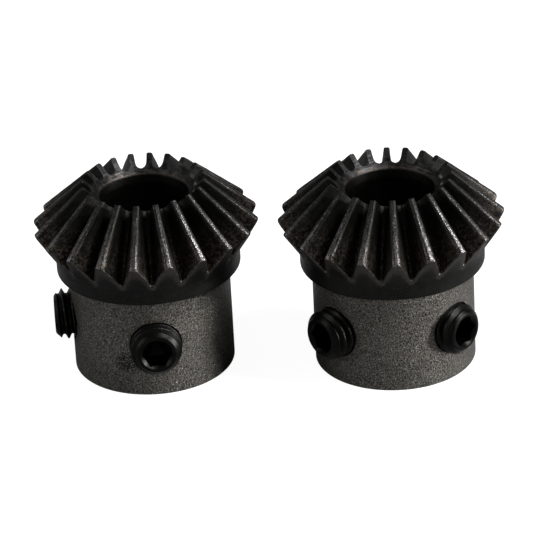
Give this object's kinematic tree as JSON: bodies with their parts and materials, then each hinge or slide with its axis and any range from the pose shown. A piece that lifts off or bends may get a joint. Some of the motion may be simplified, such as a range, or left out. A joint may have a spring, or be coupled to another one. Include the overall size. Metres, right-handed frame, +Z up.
{
  "type": "bevel gear pair",
  "caption": "Pair of equal straight-tooth mitre bevel gears with stepped hubs, through bores and protruding hex-socket set screws.",
  "frame": {"origin": "on the plane the hub end faces stand on, midway between the two gears' axes", "axes": "+X from the left gear's axis to the right gear's, +Y away from the set-screw side, +Z up along both bores from the hubs to the teeth"},
  "size_m": [0.0446, 0.0214, 0.019],
  "materials": {
    "gear_steel": "blackened carbon steel, satin on the teeth and collar, grainy on the hub, bright wear on the tooth lands",
    "screw_oxide": "black oxide alloy steel, semi-gloss and lightly oiled"
  },
  "bodies": {
    "left_gear": {"left_gear": "gear_steel"},
    "left_front_screw": {"left_gear_front_screw": "screw_oxide"},
    "left_side_screw": {"left_gear_side_screw": "screw_oxide"},
    "right_gear": {"right_gear": "gear_steel"},
    "right_left_screw": {"right_gear_left_screw": "screw_oxide"},
    "right_right_screw": {"right_gear_right_screw": "screw_oxide"}
  },
  "joints": [
    {"name": "right_gear_spin", "type": "hinge", "parent": "left_gear", "child": "right_gear", "pos_m": [0.01156, 0, 0], "axis": [0, 0, 1], "continuous": true},
    {"name": "left_front_screw_travel", "type": "slide", "parent": "left_gear", "child": "left_front_screw", "axis": [0.1305, -0.9914, 0], "range_m": [-0.00095, 0.0024]},
    {"name": "left_side_screw_travel", "type": "slide", "parent": "left_gear", "child": "left_side_screw", "axis": [-0.9923, -0.1236, 0], "range_m": [-0.0008, 0.00255]},
    {"name": "right_left_screw_travel", "type": "slide", "parent": "right_gear", "child": "right_left_screw", "axis": [-0.7133, -0.7009, 0], "range_m": [-0.001, 0.00235]},
    {"name": "right_right_screw_travel", "type": "slide", "parent": "right_gear", "child": "right_right_screw", "axis": [0.7604, -0.6494, 0], "range_m": [-0.0005, 0.00285]}
  ]
}
